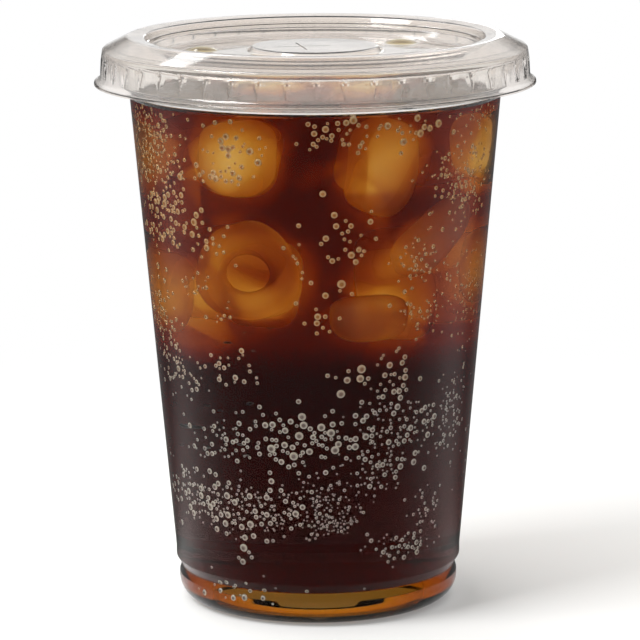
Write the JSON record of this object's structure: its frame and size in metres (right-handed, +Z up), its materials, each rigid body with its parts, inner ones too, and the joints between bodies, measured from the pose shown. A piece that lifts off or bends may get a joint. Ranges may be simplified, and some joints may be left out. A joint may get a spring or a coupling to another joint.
{
  "type": "plastic cup with lid",
  "caption": "Clear tapered drinking cup with a rolled rim and a fluted lid pressed onto it, filled with an iced dark drink.",
  "frame": {"origin": "centre of the foot, on the surface that the cup stands on", "axes": "+Z up the cup's axis towards the lid, +X to the right and -Y towards the camera of the picture"},
  "size_m": [0.0976, 0.0976, 0.1269],
  "materials": {
    "clear_cup_plastic": "clear moulded film, glossy",
    "clear_lid_film": "clear thermoformed film, glossy",
    "dark_drink": "clear dark brown liquid, amber where it is thin",
    "ice": "melting ice, clear to slightly cloudy"
  },
  "bodies": {
    "cup_body": {"cup": "clear_cup_plastic", "drink": "dark_drink", "ice_01": "ice", "ice_02": "ice", "ice_03": "ice", "ice_04": "ice", "ice_05": "ice", "ice_06": "ice", "ice_07": "ice", "ice_08": "ice", "ice_09": "ice", "ice_10": "ice", "ice_11": "ice", "ice_12": "ice", "ice_13": "ice", "ice_14": "ice", "ice_15": "ice", "ice_16": "ice", "ice_17": "ice", "ice_18": "ice"},
    "lid_body": {"lid": "clear_lid_film"}
  },
  "joints": [
    {"name": "lid_lift", "type": "slide", "parent": "cup_body", "child": "lid_body", "axis": [0, 0, 1], "range_m": [0, 0.03]}
  ]
}
